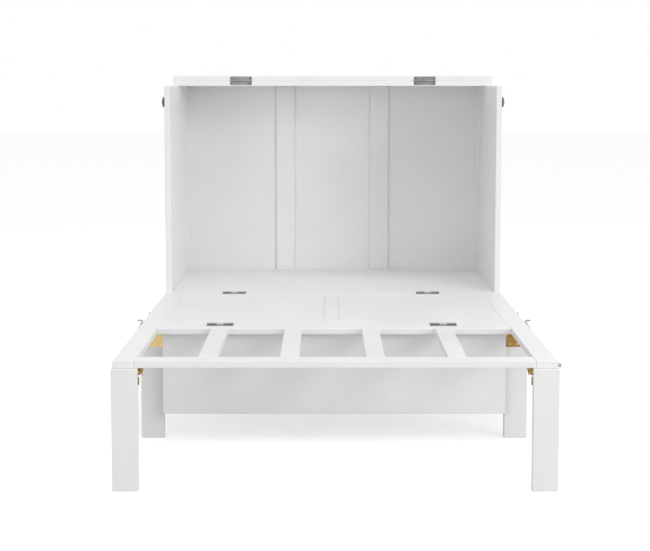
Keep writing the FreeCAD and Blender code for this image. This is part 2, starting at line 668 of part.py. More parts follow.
def leg_set(pair, side, sign):
    """A leg with its plate and rivet, and the bracket under the frame."""
    low_y, way, outboard, bracket_length = LEG_PAIRS[pair]
    pivot = f"({HALF} + {outboard} - {S.leg_width})"
    name = f"{pair}_{side}"
    leg_x, leg_width = across(sign, pivot, "0", S.leg_width)
    node(name + "_leg", plank(name + "_leg_board", leg_x, low_y, "0",
                              leg_width, S.leg_thick, f"{UNDER} - {S.leg_gap}"))

    face = f"({low_y} + {S.leg_thick})" if way > 0 else f"{low_y}"
    web_y = span(way, face, S.plate_thick)
    plate_x, plate_width = across(sign, pivot, "0", S.plate_width)
    plate_top = f"({PIVOT_Z} + {S.lug_radius})"
    web = block(name + "_web", plate_x, web_y, S.plate_bottom, plate_width, S.plate_thick,
                f"{plate_top} - {S.plate_bottom}")
    lug = rod(name + "_lug", "y", f"{sign} * {pivot}", web_y, PIVOT_Z, S.lug_radius,
              S.plate_thick)
    lip_x, lip_width = across(sign, pivot, f"-{S.plate_thick}", "0")
    lip = block(name + "_lip", lip_x, span(way, face, S.plate_lip), S.plate_bottom, lip_width,
                S.plate_lip, f"{PIVOT_Z} - {S.lug_radius} - {S.lug_room} - {S.plate_bottom}")
    hole = rod(name + "_hole", "y", f"{sign} * {pivot}", web_y, PIVOT_Z,
               f"{S.rivet_radius} + {S.running}", S.plate_thick)
    pressed = fuse(name + "_pressed", [web, lug, lip])
    node(name + "_leg_plate", cut(name + "_plate_bored", pressed, [hole]))

    gap = f"{way} * ({S.plate_thick} + {S.side_play})"
    ear_face = f"({face} + {gap})"
    ear_y = span(way, ear_face, S.plate_thick)
    inner = f"-({S.lug_radius} + {S.plate_thick})"
    u = {"inner": f"{sign} * ({pivot} {inner})",
         "lug": f"{sign} * ({pivot} + {S.lug_radius})",
         "lug_in": f"{sign} * ({pivot} - {S.lug_radius})",
         "outer": f"{sign} * ({pivot} + {S.bracket_width})"}
    ear = profile(name + "_ear", "XZ", [
        (u["lug_in"], f"{PIVOT_Z} - {S.lug_radius}"),
        (u["lug"], f"{PIVOT_Z} - {S.lug_radius}"),
        (u["outer"], f"{UNDER} - {S.bracket_corner}"),
        (u["outer"], UNDER),
        (u["lug_in"], UNDER),
    ], ear_y, S.plate_thick, {0: f"{S.lug_radius} - 0.01", 1: f"{S.lug_radius} * 0.75"})
    flange_x, flange_width = across(sign, pivot, inner, S.bracket_width)
    flange = block(name + "_flange", flange_x, span(way, ear_face, bracket_length),
                   f"{UNDER} - {S.plate_thick}", flange_width, bracket_length, S.plate_thick)
    tip = f"{ear_face} + {way} * {bracket_length}"
    gusset_x, gusset_width = across(sign, pivot, inner, f"-{S.lug_radius}")
    gusset = profile(name + "_gusset", "YZ", [
        (ear_face, f"{PIVOT_Z} - {S.lug_radius}"),
        (f"{ear_face} + {way} * {S.plate_thick}", f"{PIVOT_Z} - {S.lug_radius}"),
        (tip, f"{UNDER} - {S.plate_thick}"),
        (tip, UNDER),
        (ear_face, UNDER),
    ], gusset_x, gusset_width)
    rivet_hole = rod(name + "_ear_hole", "y", f"{sign} * {pivot}", ear_y, PIVOT_Z,
                     S.rivet_radius, S.plate_thick)
    bent = fuse(name + "_bent", [ear, flange, gusset])
    node(name + "_bracket", cut(name + "_bracket_bored", bent, [rivet_hole]))

    rivet_length = f"(2 * {S.plate_thick} + {S.side_play} - {S.running} + {S.rivet_end})"
    rivet_start = f"({face} + {way} * {S.running})"
    return rod(name + "_rivet", "y", f"{sign} * {pivot}", span(way, rivet_start, rivet_length),
               PIVOT_Z, S.rivet_radius, rivet_length)


rivets = []
for pair in LEG_PAIRS:
    for side, sign in SIDES:
        rivets.append(leg_set(pair, side, sign))
node("leg_pivot_rivets", together("rivet_set", rivets))


# ---- hook latches --------------------------------------------------------------------------
# A hook turns on the edge of the front panel. With the panel up, it drops over the knob.
HOOK_REACH = f"({KNOB_Y} + {S.board} / 2 + {S.axis_raise})"
NOTCH = f"({S.knob_neck} + {S.notch_room})"
HOOK_PLANE = f"({HALF} + {S.hook_off})"


def from_pivot(forward, up):
    """A point of the hook outline: forward of its pivot and above it."""
    return (f"{HOOK_Y} - ({forward})", f"{BOARD_MIDDLE} + {up}")


HOOK_OUTLINE = [
    from_pivot(f"-{S.hook_height} / 2", f"-{S.hook_height} / 2"),
    from_pivot(f"-{S.hook_height} / 2", f"{S.hook_height} / 2"),
    from_pivot(f"{HOOK_REACH} - {NOTCH}", f"{S.hook_height} / 2"),
    from_pivot(f"{HOOK_REACH} - {NOTCH}", f"-{NOTCH}"),
    from_pivot(f"{HOOK_REACH} + {NOTCH}", f"-{NOTCH}"),
    from_pivot(f"{HOOK_REACH} + {NOTCH}", f"{S.hook_height} / 2"),
    from_pivot(f"{HOOK_REACH} + {NOTCH} + {S.hook_web}", f"{S.hook_height} / 2"),
    from_pivot(f"{HOOK_REACH} + {NOTCH} + {S.hook_web}", f"-({NOTCH} + {S.hook_web})"),
    from_pivot(f"{HOOK_REACH} - {NOTCH} - {S.hook_web}", f"-({NOTCH} + {S.hook_web})"),
    from_pivot(f"{HOOK_REACH} - {NOTCH} - {S.hook_web} - {S.hook_taper}",
               f"-{S.hook_height} / 2"),
]
HOOK_ROUNDS = {
    0: f"{S.hook_height} / 2 - 0.01",
    3: f"{NOTCH} - 0.01",
    4: f"{NOTCH} - 0.01",
    6: f"{S.hook_web} / 2",
    7: f"{NOTCH}",
}

for side, sign in SIDES:
    hook_x = low_x(sign, HOOK_PLANE, S.hook_thick)
    plate = profile(side + "_hook_plate", "YZ", HOOK_OUTLINE, hook_x, S.hook_thick, HOOK_ROUNDS)
    tab_y = f"{HOOK_Y} - {S.hook_height} / 2"
    tab_top = f"({BOARD_MIDDLE} + {S.hook_height} / 2 + {S.hook_tab_rise})"
    upstand = block(side + "_hook_upstand", hook_x, tab_y, BOARD_MIDDLE,
                    S.hook_thick, S.hook_height, f"{tab_top} - {BOARD_MIDDLE}")
    tab_width = f"{S.hook_thick} + {S.hook_tab}"
    tab = block(side + "_hook_tab", low_x(sign, HOOK_PLANE, tab_width), tab_y,
                f"{tab_top} - {S.hook_thick}", tab_width, S.hook_height, S.hook_thick)
    pivot_hole = rod(side + "_hook_hole", "x", hook_x, HOOK_Y, BOARD_MIDDLE,
                     f"{S.pivot_radius} + {S.running}", S.hook_thick)
    formed = fuse(side + "_hook_formed", [plate, upstand, tab])
    node(side + "_hook", cut(side + "_hook_bored", formed, [pivot_hole]))


# ---- checks and files ----------------------------------------------------------------------
def save_parts():
    """Checks every object, then writes each sub-part to its own file."""
    doc.recompute()
    for thing in doc.Objects:
        if "Invalid" in thing.State or "Error" in thing.State:
            raise RuntimeError("not built: " + thing.Label)
    for thing in NODES:
        if thing.Shape.isNull() or not thing.Shape.isValid():
            raise RuntimeError("bad shape: " + thing.Label)
    os.makedirs("parts", exist_ok=True)
    for thing in NODES:
        thing.Shape.exportStep("parts/" + thing.Label + ".step")


save_parts()
print(len(NODES), "sub-parts")
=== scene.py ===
# %% [markdown]
# # A white cabinet bed, dressed for its picture
#
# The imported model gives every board, leg, hinge and hook at its true place. This lesson adds
# what a camera sees: paint, plated steel, the small screws and turned knobs, then light,
# floor and camera. Everything is in metres, with +Z up and the foot of the bed towards -Y.

# %% Load the frame
import json
import math

import bmesh
import bpy
from mathutils import Matrix, Vector


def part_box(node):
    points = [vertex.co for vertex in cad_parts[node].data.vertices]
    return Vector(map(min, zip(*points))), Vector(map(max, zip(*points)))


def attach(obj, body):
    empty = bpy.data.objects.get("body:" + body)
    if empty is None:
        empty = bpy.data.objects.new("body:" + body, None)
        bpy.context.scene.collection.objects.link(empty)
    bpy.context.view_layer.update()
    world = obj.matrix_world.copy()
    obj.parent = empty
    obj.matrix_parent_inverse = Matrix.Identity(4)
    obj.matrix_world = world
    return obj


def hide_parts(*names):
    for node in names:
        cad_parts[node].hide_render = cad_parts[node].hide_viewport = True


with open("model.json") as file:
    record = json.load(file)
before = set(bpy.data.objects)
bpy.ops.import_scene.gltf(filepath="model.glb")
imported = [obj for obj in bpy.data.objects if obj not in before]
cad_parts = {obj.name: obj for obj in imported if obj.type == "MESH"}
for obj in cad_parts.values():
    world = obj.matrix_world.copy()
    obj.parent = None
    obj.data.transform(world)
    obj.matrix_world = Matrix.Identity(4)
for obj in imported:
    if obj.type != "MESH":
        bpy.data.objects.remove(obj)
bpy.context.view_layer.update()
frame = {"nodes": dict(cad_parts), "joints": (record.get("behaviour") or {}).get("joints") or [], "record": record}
nodes = frame["nodes"]
scene = bpy.context.scene

# %% [markdown]
# ## Camera
#
# The photograph looks at the foot of the bed from about standing height with a long lens.
# Its upright edges stay almost parallel, which a camera gives when it is held nearly level
# and its film is shifted down. A little tilt and a little shift together keep the other
# views of the bed in the middle of their frames.

# %% Camera
CAMERA_PLACE = (-0.0223, -4.6902, 1.0086)
CAMERA_TILT = 5.639
CAMERA_SHIFT = (-0.0021, -0.06)
PHOTO_WIDTH = 650
FOCAL_PIXELS = 1517.1
SENSOR = 36.0

camera_data = bpy.data.cameras.new("camera")
camera_data.sensor_width = SENSOR
camera_data.lens = FOCAL_PIXELS * SENSOR / PHOTO_WIDTH
camera_data.shift_x, camera_data.shift_y = CAMERA_SHIFT
camera = bpy.data.objects.new("camera", camera_data)
camera.location = CAMERA_PLACE
camera.rotation_euler = (math.radians(90 - CAMERA_TILT), 0, 0)
scene.collection.objects.link(camera)
scene.camera = camera
print("lens", round(camera_data.lens, 2), "mm")

# %% [markdown]
# ## Helpers for materials
#
# Each finish is a small node tree. A few helpers keep the trees short: one starts a finish,
# one makes a noise that is read in metres on the object, two spread a noise into a number or
# a colour, and one turns noises into a fine bump.


# %% Material helpers
def new_finish(name, colour, roughness, metallic=0.0):
    """A material with a Principled shader whose plain numbers are set on its own sockets."""
    finish = bpy.data.materials.new(name)
    finish.use_nodes = True
    shader = finish.node_tree.nodes["Principled BSDF"]
    shader.inputs["Base Color"].default_value = (*colour, 1)
    shader.inputs["Roughness"].default_value = roughness
    shader.inputs["Metallic"].default_value = metallic
    return finish, finish.node_tree, shader


def object_noise(tree, scale, detail=3.0, stretch=(1, 1, 1)):
    """Noise on object coordinates; scale is in waves per metre."""
    place = tree.nodes.new("ShaderNodeTexCoord")
    mapping = tree.nodes.new("ShaderNodeMapping")
    mapping.inputs["Scale"].default_value = stretch
    noise = tree.nodes.new("ShaderNodeTexNoise")
    noise.inputs["Scale"].default_value = scale
    noise.inputs["Detail"].default_value = detail
    tree.links.new(place.outputs["Object"], mapping.inputs["Vector"])
    tree.links.new(mapping.outputs["Vector"], noise.inputs["Vector"])
    return noise


def ramp_to(tree, source, low, high, target):
    """Spreads a noise between two values and feeds it to a socket."""
    spread = tree.nodes.new("ShaderNodeMapRange")
    spread.inputs["From Min"].default_value = 0.3
    spread.inputs["From Max"].default_value = 0.7
    spread.inputs["To Min"].default_value = low
    spread.inputs["To Max"].default_value = high
    tree.links.new(source.outputs["Fac"], spread.inputs["Value"])
    tree.links.new(spread.outputs["Result"], target)


def tint_to(tree, source, dark, light, target):
    """Mixes two colours by a noise and feeds the result to a socket."""
    ramp = tree.nodes.new("ShaderNodeValToRGB")
    ramp.color_ramp.elements[0].position = 0.35
    ramp.color_ramp.elements[0].color = (*dark, 1)
    ramp.color_ramp.elements[1].position = 0.65
    ramp.color_ramp.elements[1].color = (*light, 1)
    tree.links.new(source.outputs["Fac"], ramp.inputs["Fac"])
    tree.links.new(ramp.outputs["Color"], target)


def bumps(tree, shader, layers):
    """Chains bumps of (noise, depth in metres) into the normal of a shader."""
    last = None
    for noise, depth in layers:
        bump = tree.nodes.new("ShaderNodeBump")
        bump.inputs["Strength"].default_value = 1.0
        bump.inputs["Distance"].default_value = depth
        tree.links.new(noise.outputs["Fac"], bump.inputs["Height"])
        if last is not None:
            tree.links.new(last.outputs["Normal"], bump.inputs["Normal"])
        last = bump
    tree.links.new(last.outputs["Normal"], shader.inputs["Normal"])


# %% [markdown]
# ## White paint
#
# The boards are sprayed with satin white paint. Sprayed paint isn't dead flat: it has a fine
# orange peel, and its sheen changes a little over a board. Both come from noise, one fine for
# the bump and one broad for colour and roughness, so no two boards reflect quite alike.

# %% Paint
WHITE = (0.85, 0.85, 0.85)
WHITE_SHADE = (0.825, 0.825, 0.825)
BACK_WHITE = (0.83, 0.83, 0.83)
BACK_SHADE = (0.81, 0.81, 0.81)


def paint_finish(name, light, shade, sheen):
    finish, tree, shader = new_finish(name, light, sheen)
    broad = object_noise(tree, 5.0)
    tint_to(tree, broad, shade, light, shader.inputs["Base Color"])
    ramp_to(tree, broad, sheen - 0.05, sheen + 0.07, shader.inputs["Roughness"])
    peel = object_noise(tree, 700.0, detail=1.0)
    roller = object_noise(tree, 60.0, detail=2.0)
    bumps(tree, shader, [(roller, 0.00006), (peel, 0.000012)])
    shader.inputs["Specular IOR Level"].default_value = 0.4
    return finish


white_paint = paint_finish("white_paint", WHITE, WHITE_SHADE, 0.42)
back_sheet = paint_finish("back_sheet", BACK_WHITE, BACK_SHADE, 0.5)
print("paints:", white_paint.name, back_sheet.name)

# %% [markdown]
# ## Bare wood
#
# The bearers and the post under the cabinet floor are planed softwood. Its growth rings show
# as long stripes, so a noise is stretched along the board, and a finer one gives the pores.


# %% Bare wood
def wood_finish(name, along):
    finish, tree, shader = new_finish(name, (0.62, 0.46, 0.28), 0.6)
    stretch = [1.0 if axis == along else 14.0 for axis in range(3)]
    grain = object_noise(tree, 6.0, detail=8.0, stretch=stretch)
    tint_to(tree, grain, (0.52, 0.36, 0.20), (0.70, 0.54, 0.35), shader.inputs["Base Color"])
    pores = object_noise(tree, 40.0, detail=6.0, stretch=stretch)
    ramp_to(tree, pores, 0.5, 0.72, shader.inputs["Roughness"])
    bumps(tree, shader, [(pores, 0.0001)])
    return finish


bearer_wood = wood_finish("bearer_wood", along=0)
post_wood = wood_finish("post_wood", along=2)
print("woods:", bearer_wood.name, "along X,", post_wood.name, "along Z")

# %% [markdown]
# ## Plated steel
#
# Three platings show on the bed: satin nickel hinges, yellow zinc on the leg plates, and
# grey zinc on hooks and pegs. Rolled sheet is brushed along its length, so a noise stretched
# along X breaks up the reflection. Yellow zinc also drifts in colour from straw to bronze.


# %% Steel
def steel_finish(name, light, shade, roughness, patches, metallic=1.0):
    finish, tree, shader = new_finish(name, light, roughness, metallic)
    drift = object_noise(tree, patches, detail=4.0)
    tint_to(tree, drift, shade, light, shader.inputs["Base Color"])
    brush = object_noise(tree, 90.0, detail=4.0, stretch=(1, 16, 16))
    ramp_to(tree, brush, roughness - 0.08, roughness + 0.1, shader.inputs["Roughness"])
    bumps(tree, shader, [(brush, 0.00003)])
    return finish


hinge_steel = steel_finish("hinge_steel", (0.30, 0.30, 0.295), (0.22, 0.22, 0.215), 0.38, 60.0)
screw_steel = steel_finish("screw_steel", (0.16, 0.16, 0.155), (0.10, 0.10, 0.098), 0.35, 300.0)
grey_steel = steel_finish("grey_steel", (0.42, 0.42, 0.41), (0.34, 0.34, 0.33), 0.42, 80.0)
yellow_zinc = steel_finish("yellow_zinc", (0.72, 0.54, 0.24), (0.60, 0.41, 0.18), 0.4, 30.0)
# a darker, browner copy of the yellow zinc: painted shade for plates and brackets in shadow
painted_shade_zinc = steel_finish("painted_shade_zinc", (0.40, 0.25, 0.09), (0.30, 0.17, 0.06), 0.45, 60.0)
steels = (hinge_steel, screw_steel, grey_steel, yellow_zinc, painted_shade_zinc)
print("steels:", [finish.name for finish in steels])

# %% [markdown]
# The hinges of the platform are painted brighter in the middle of their leaves, a painted
# highlight where the knuckle catches the light. The highlight is a mask on X: how far a point is from the nearer
# hinge's middle, turned into a soft step, which mixes a bright colour over the dull one.

# %% Painted highlight on hinges
HINGE_MIDDLE = 0.320
HINGE_DRIFT = 0.007


def hinge_highlight_finish(name):
    finish, tree, shader = new_finish(name, (0.24, 0.24, 0.235), 0.36, 1.0)
    place = tree.nodes.new("ShaderNodeTexCoord")
    split = tree.nodes.new("ShaderNodeSeparateXYZ")
    tree.links.new(place.outputs["Object"], split.inputs[0])
    value = split.outputs["X"]
    for operation, amount in (("ADD", HINGE_DRIFT), ("ABSOLUTE", 0.0),
                              ("SUBTRACT", HINGE_MIDDLE), ("ABSOLUTE", 0.0)):
        step = tree.nodes.new("ShaderNodeMath")
        step.operation = operation
        step.inputs[1].default_value = amount
        tree.links.new(value, step.inputs[0])
        value = step.outputs[0]
    mask = tree.nodes.new("ShaderNodeMapRange")
    mask.interpolation_type = "SMOOTHSTEP"
    mask.inputs["From Min"].default_value = 0.006
    mask.inputs["From Max"].default_value = 0.014
    mask.inputs["To Min"].default_value = 1.0
    mask.inputs["To Max"].default_value = 0.0
    tree.links.new(value, mask.inputs["Value"])
    drift = object_noise(tree, 60.0, detail=4.0)
    dull = tree.nodes.new("ShaderNodeValToRGB")
    dull.color_ramp.elements[0].color = (0.19, 0.19, 0.187, 1)
    dull.color_ramp.elements[1].color = (0.29, 0.29, 0.285, 1)
    tree.links.new(drift.outputs["Fac"], dull.inputs["Fac"])
    mixed = tree.nodes.new("ShaderNodeMix")
    mixed.data_type = "RGBA"
    colours = [socket for socket in mixed.inputs if socket.type == "RGBA"]
    # the bright colour of the painted highlight in the middle of each leaf
    colours[1].default_value = (0.45, 0.45, 0.44, 1)
    tree.links.new(mask.outputs["Result"], mixed.inputs["Factor"])
    tree.links.new(dull.outputs["Color"], colours[0])
    result = [socket for socket in mixed.outputs if socket.type == "RGBA"][0]
    tree.links.new(result, shader.inputs["Base Color"])
    brush = object_noise(tree, 90.0, detail=4.0, stretch=(1, 16, 16))
    ramp_to(tree, brush, 0.28, 0.46, shader.inputs["Roughness"])
    bumps(tree, shader, [(brush, 0.00003)])
    return finish


hinge_with_painted_highlight = hinge_highlight_finish("hinge_with_painted_highlight")
print("worn hinge tree has", len(hinge_with_painted_highlight.node_tree.nodes), "nodes")

# %% [markdown]
# ## Knobs and glides
#
# The knobs are dark bronze lacquer over metal, and the glides are pale plastic. Lacquer is a
# clear coat over a rougher base, so the coat gives the small sharp highlight.

# %% Knob and glide finishes
dark_bronze, bronze_tree, bronze_shader = new_finish("dark_bronze", (0.15, 0.13, 0.115), 0.4, 0.7)
bronze_noise = object_noise(bronze_tree, 120.0)
tint_to(bronze_tree, bronze_noise, (0.11, 0.095, 0.085), (0.20, 0.175, 0.155),
        bronze_shader.inputs["Base Color"])
bumps(bronze_tree, bronze_shader, [(bronze_noise, 0.00003)])
bronze_shader.inputs["Coat Weight"].default_value = 0.5
bronze_shader.inputs["Coat Roughness"].default_value = 0.15

glide_plastic, glide_tree, glide_shader = new_finish("glide_plastic", (0.62, 0.62, 0.60), 0.55)
glide_noise = object_noise(glide_tree, 300.0)
tint_to(glide_tree, glide_noise, (0.55, 0.55, 0.53), (0.64, 0.64, 0.62),
        glide_shader.inputs["Base Color"])
bumps(glide_tree, glide_shader, [(glide_noise, 0.00004)])
print("also:", dark_bronze.name, glide_plastic.name)

# %% [markdown]
# ## Dress the nodes
#
# The record says which slot each node takes its finish from, so one loop dresses them all.
# A few nodes then differ inside their slot. The bearers and the post don't run the same way,
# and the battens are sprayed with the back board. The platform hinges get a painted highlight in
# the middle of their leaves, and on all legs but one the zinc is a darker copy, painted shade.

# %% Dress the nodes
FINISHES = {
    "white_paint": white_paint,
    "back_sheet": back_sheet,
    "plain_wood": bearer_wood,
    "hinge_steel": hinge_steel,
    "grey_steel": grey_steel,
    "yellow_zinc": yellow_zinc,
    "dark_bronze": dark_bronze,
    "glide_plastic": glide_plastic,
}


def dress(thing, finish):
    thing.data.materials.clear()
    thing.data.materials.append(finish)


for part in frame["record"]["subparts"]:
    dress(nodes[part["node"]], FINISHES[part["material_slot"]])
dress(nodes["centre_post"], post_wood)
# painted highlight: these platform hinges take the finish with a bright middle
for name in ("front_hinge_fixed_leaves", "front_hinge_panel_leaves",
             "foot_hinge_panel_leaves", "foot_hinge_slat_leaves"):
    dress(nodes[name], hinge_with_painted_highlight)
for name in ("back_batten_left", "back_batten_right"):
    dress(nodes[name], back_sheet)
# painted shade: all legs but the middle left take the darker zinc on plate and bracket
for leg in ("middle_right", "foot_left", "foot_right"):
    dress(nodes[leg + "_bracket"], painted_shade_zinc)
    dress(nodes[leg + "_leg_plate"], painted_shade_zinc)
print(len(nodes), "nodes dressed")

# %% [markdown]
# ## Screw heads
#
# Hinges and leg plates are held by cross-head screws. One head is enough to model: a cone
# with a rounded rim, whose flat top is cut by planes so that a cross can be pushed in. Copies
# are then set in rows, and each row becomes one piece that rides with its leaf.


# %% Screw heads
def screw_head(radius, rise):
    """A cross-head screw from its seat at z = 0 up."""
    head = bmesh.new()
    bmesh.ops.create_cone(head, cap_ends=True, segments=24, radius1=radius,
                          radius2=radius * 0.86, depth=rise)
    bmesh.ops.translate(head, verts=head.verts, vec=(0, 0, rise / 2))
    rim = [edge for edge in head.edges if all(v.co.z > rise * 0.9 for v in edge.verts)]
    bmesh.ops.bevel(head, geom=rim, offset=rise * 0.4, segments=2, profile=0.5,
                    affect="EDGES", material=-1)
    arm, half = radius * 0.5, radius * 0.11
    for reach in (-arm, -half, half, arm):
        for axis in ((1, 0, 0), (0, 1, 0)):
            cap = [f for f in head.faces if f.normal.z > 0.99 and f.calc_center_median().z > 0]
            edges = {edge for face in cap for edge in face.edges}
            verts = {vert for face in cap for vert in face.verts}
            bmesh.ops.bisect_plane(head, geom=[*cap, *edges, *verts], dist=1e-7,
                                   plane_co=Vector(axis) * reach, plane_no=axis)
    slot = []
    for face in head.faces:
        x, y, z = (abs(value) for value in face.calc_center_median())
        flat_top = face.normal.z > 0.99 and z > rise * 0.9
        if flat_top and ((x < half and y < arm) or (y < half and x < arm)):
            slot.append(face)
    pushed = bmesh.ops.extrude_face_region(head, geom=slot)
    sunk = [item for item in pushed["geom"] if isinstance(item, bmesh.types.BMVert)]
    bmesh.ops.translate(head, verts=sunk, vec=(0, 0, -rise * 0.75))
    return head


def screws(name, places, facing, body, slot, finish, radius=0.0032, rise=0.0006):
    """One piece of screw heads at the places, all facing one way."""
    turn = Vector((0, 0, 1)).rotation_difference(Vector(facing)).to_matrix().to_4x4()
    joined = bmesh.new()
    for at, spot in enumerate(places):
        head = screw_head(radius, rise)
        twist = Matrix.Rotation(math.radians(37 * at + 11), 4, "Z")
        head.transform(Matrix.Translation(spot) @ turn @ twist)
        mesh = bpy.data.meshes.new("head")
        head.to_mesh(mesh)
        head.free()
        joined.from_mesh(mesh)
        bpy.data.meshes.remove(mesh)
    return keep_piece(name, joined, body, finish)


def keep_piece(name, shape, body, finish, smooth=False):
    """Turns a bmesh into a piece that rides on a body."""
    mesh = bpy.data.meshes.new(name)
    shape.to_mesh(mesh)
    shape.free()
    for face in mesh.polygons:
        face.use_smooth = smooth
    piece = bpy.data.objects.new(name, mesh)
    scene.collection.objects.link(piece)
    dress(piece, finish)
    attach(piece, body)
    return piece


# %% [markdown]
# Every leaf has a screw near each end and one between them. The places come from the box of
# the leaves and the line of the joint: half of the way from the knuckle to the leaf's far
# edge. The narrow leaves on the edges of the top have room for the two end screws only.

# %% Hinge screws
joints = {joint["name"]: joint for joint in frame["joints"]}
SCREW_STEPS = (-0.030, 0.0, 0.030)
KNUCKLE = 0.0035
LEAF_FACE = 0.00075
HINGE_LENGTH = 0.076
MIDDLE_STAGGER = 0.004
END_STAGGER = -0.003


def leaf_screws(name, leaves, joint, body, steps, upright=False):
    """Screws on both leaves of a node, on their outer faces."""
    low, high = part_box(leaves)
    centres = (low.x + HINGE_LENGTH / 2, high.x - HINGE_LENGTH / 2)
    line = Vector(joints[joint]["pos_m"])
    places = []
    for centre in centres:
        for step in steps:
            if upright:
                below = low.z < line.z - 0.01
                far = low.z if below else high.z
                near = line.z - KNUCKLE if below else line.z + KNUCKLE
                places.append((centre + step, line.y + LEAF_FACE, (near + far) / 2))
            else:
                behind = high.y > line.y + 0.01
                far = high.y if behind else low.y
                near = line.y + KNUCKLE if behind else line.y - KNUCKLE
                stagger = MIDDLE_STAGGER if step == 0 else END_STAGGER
                away = stagger if behind else -stagger
                places.append((centre + step, (near + far) / 2 + away, line.z - LEAF_FACE))
    facing = (0, -1, 0) if upright else (0, 0, 1)
    return screws(name, places, facing, body, "hinge_steel", screw_steel)


END_STEPS = (-0.032, 0.032)
leaf_screws("front_fixed_screws", "front_hinge_fixed_leaves", "front_panel_hinge", "cabinet",
            SCREW_STEPS)
leaf_screws("front_panel_screws", "front_hinge_panel_leaves", "front_panel_hinge", "front_panel",
            SCREW_STEPS)
leaf_screws("foot_panel_screws", "foot_hinge_panel_leaves", "slat_frame_hinge", "front_panel",
            SCREW_STEPS)
leaf_screws("foot_slat_screws", "foot_hinge_slat_leaves", "slat_frame_hinge", "slat_frame",
            SCREW_STEPS)
leaf_screws("top_fixed_screws", "top_hinge_fixed_leaves", "top_flap_hinge", "cabinet",
            END_STEPS, upright=True)
leaf_screws("top_flap_screws", "top_hinge_flap_leaves", "top_flap_hinge", "top_flap",
            END_STEPS, upright=True)
print("hinge screws:", 4 * 2 * len(SCREW_STEPS) + 2 * 2 * len(END_STEPS))

# %% [markdown]
# The steel plate of each leg has three screws in a triangle, on the face that looks along
# the bed. The plate's own box says where that face is.

# %% Leg plate screws
PLATE = 0.002
PLATE_SCREW = {"radius": 0.0036, "rise": 0.0010}
for leg in ("foot_left_leg", "foot_right_leg", "middle_left_leg", "middle_right_leg"):
    low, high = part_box(leg + "_plate")
    leg_low, leg_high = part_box(leg)
    behind = high.y > leg_high.y
    face = leg_high.y + PLATE if behind else leg_low.y - PLATE
    outward = 1 if "right" in leg else -1
    inner = leg_low.x if outward > 0 else leg_high.x
    spots = [(inner + outward * across, face, low.z + up)
             for across, up in ((0.014, 0.008), (0.036, 0.008), (0.036, 0.028))]
    screws(leg + "_screws", spots, (0, 1 if behind else -1, 0), leg, "yellow_zinc", yellow_zinc,
           **PLATE_SCREW)
print("leg plate screws set")

# %% [markdown]
# The bracket of each leg is screwed up into the side rail. Its screws look down at the floor,
# outwards of the pivot, where the flange is flat.

# %% Bracket screws
for leg in ("foot_left", "foot_right", "middle_left", "middle_right"):
    low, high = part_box(leg + "_bracket")
    pivot = joints[leg + "_leg_fold"]["pos_m"][0]
    outward = 1 if "right" in leg else -1
    flange = high.z - PLATE
    middle = (low.y + high.y) / 2
    long_way = high.y - low.y > 0.03
    places = [(0.010, 0.010), (0.028, -0.008)] if long_way else [(0.012, 0.0), (0.028, 0.0)]
    spots = [(pivot + outward * across, middle + along, flange) for across, along in places]
    screws(leg + "_bracket_screws", spots, (0, 0, -1), "slat_frame", "yellow_zinc", yellow_zinc,
           **PLATE_SCREW)
print("bracket screws set")

# %% [markdown]
# ## Rivet heads
#
# A rivet's head is pressed into a low dome. It is half a ball, flattened: the ball is cut in
# two, the hole is filled, and the dome is scaled to its rise. It closes the far end of each
# pivot, away from the leg.


# %% Rivet heads
def dome(radius, rise):
    shape = bmesh.new()
    bmesh.ops.create_uvsphere(shape, u_segments=28, v_segments=14, radius=1.0)
    everything = [*shape.verts, *shape.edges, *shape.faces]
    bmesh.ops.bisect_plane(shape, geom=everything, dist=1e-6, plane_co=(0, 0, 0),
                           plane_no=(0, 0, 1), clear_inner=True)
    rim = [edge for edge in shape.edges if edge.is_boundary]
    bmesh.ops.holes_fill(shape, edges=rim, sides=0)
    bmesh.ops.scale(shape, verts=shape.verts, vec=(radius, radius, rise))
    return shape


RIVET_RADIUS = 0.0055
RIVET_RISE = 0.0022
RIVET_END = 0.0016
rivet_points = [vert.co for vert in nodes["leg_pivot_rivets"].data.vertices]
for leg in ("foot_left_leg", "foot_right_leg", "middle_left_leg", "middle_right_leg"):
    pivot = Vector(joints[leg + "_fold"]["pos_m"])
    near = [point.y for point in rivet_points
            if abs(point.x - pivot.x) < 0.02 and abs(point.y - pivot.y) < 0.02]
    low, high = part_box(leg)
    way = 1 if pivot.y > (low.y + high.y) / 2 else -1
    end = max(near) if way > 0 else min(near)
    head = dome(RIVET_RADIUS, RIVET_RISE)
    turn = Vector((0, 0, 1)).rotation_difference(Vector((0, way, 0))).to_matrix().to_4x4()
    seat = Vector((pivot.x, end - way * RIVET_END, pivot.z))
    head.transform(Matrix.Translation(seat) @ turn)
    keep_piece(leg + "_rivet_head", head, "slat_frame", yellow_zinc, True)
print("rivet heads set")

# %% [markdown]
# ## Hook screws
#
# Each hook turns on a screw with a cheese head, which is a flat drum with a cross in its end.

# %% Hook screws
for side, sign in (("left", -1), ("right", 1)):
    low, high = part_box("hook_pivot_screws")
    turn = joints[side + "_hook_turn"]["pos_m"]
    face = high.x if sign > 0 else low.x
    screws(side + "_hook_screw", [(face, turn[1], turn[2])], (sign, 0, 0), "front_panel",
           "grey_steel", grey_steel, radius=0.0050, rise=0.0008)
    print(side, "hook turns at", [round(value, 4) for value in turn])

# %% [markdown]
# ## Loose panels
#
# A framed door shows a fine dark line round each infill, because the panel is left a little
# smaller than its frame so that it can swell. The solids are drawn edge to edge, so a copy of
# each infill is drawn in by a third of a millimetre on every side that meets the frame. The
# foot rail is drawn in at its two ends in the same way, where it meets the side rails.


